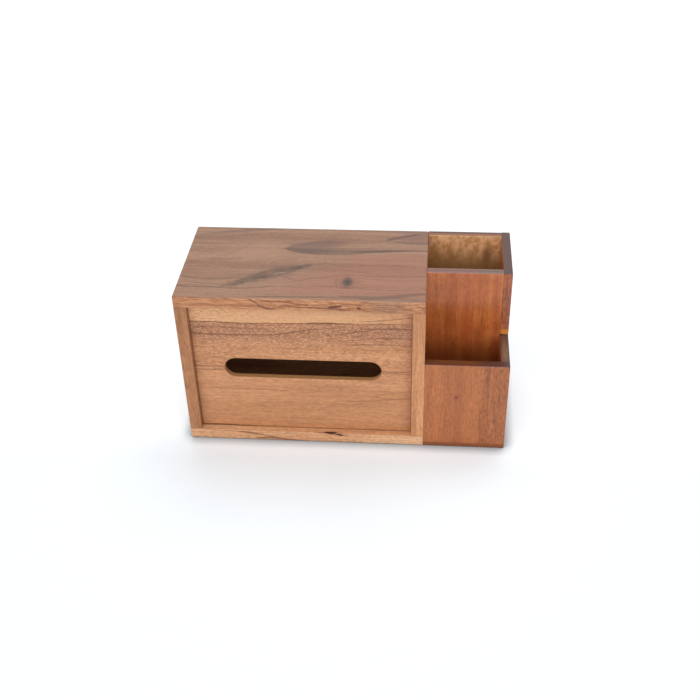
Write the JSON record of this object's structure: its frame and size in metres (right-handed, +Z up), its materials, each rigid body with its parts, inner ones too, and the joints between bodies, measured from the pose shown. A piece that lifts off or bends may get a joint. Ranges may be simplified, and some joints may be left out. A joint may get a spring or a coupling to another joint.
{
  "type": "desk caddy with tissue box and pen holder",
  "caption": "Wooden desk caddy: a tissue box with a slotted front and a sliding rear refill panel, beside a stepped pen holder with a tall rear bay and a low front bay.",
  "frame": {"origin": "on the ground under the middle of the caddy", "axes": "+X to the right along the length, towards the pen holder; +Y to the back, away from the tissue slot; +Z up"},
  "size_m": [0.2794, 0.1142, 0.1524],
  "materials": {
    "box_wood": "satin lacquer over light acacia",
    "top_board": "satin lacquer over figured acacia with dark streaks",
    "front_panel": "satin lacquer over light acacia with level grain",
    "pen_wood": "satin lacquer over red-brown stained acacia",
    "base_board": "satin lacquer over dark stained plywood",
    "joint_wood": "bare beech",
    "screw_steel": "zinc plated"
  },
  "bodies": {
    "caddy": {"box_top": "top_board", "box_bottom": "box_wood", "box_left_side": "box_wood", "box_right_side": "box_wood", "box_front_panel": "front_panel", "pen_front_wall": "pen_wood", "pen_middle_wall": "pen_wood", "pen_back_wall": "pen_wood", "pen_outer_wall": "pen_wood", "pen_base": "base_board", "top_left_tongue": "joint_wood", "top_right_tongue": "joint_wood", "bottom_left_tongue": "joint_wood", "bottom_right_tongue": "joint_wood", "front_wall_inner_dowels": "joint_wood", "front_wall_outer_dowels": "joint_wood", "middle_wall_inner_dowels": "joint_wood", "middle_wall_outer_dowels": "joint_wood", "back_wall_inner_dowels": "joint_wood", "back_wall_outer_dowels": "joint_wood", "front_base_screws": "screw_steel", "back_base_screws": "screw_steel"},
    "refill_panel": {"refill_panel": "box_wood"}
  },
  "joints": [
    {"name": "refill_slide", "type": "slide", "parent": "caddy", "child": "refill_panel", "axis": [-1, 0, 0], "range_m": [0, 0.185]}
  ]
}
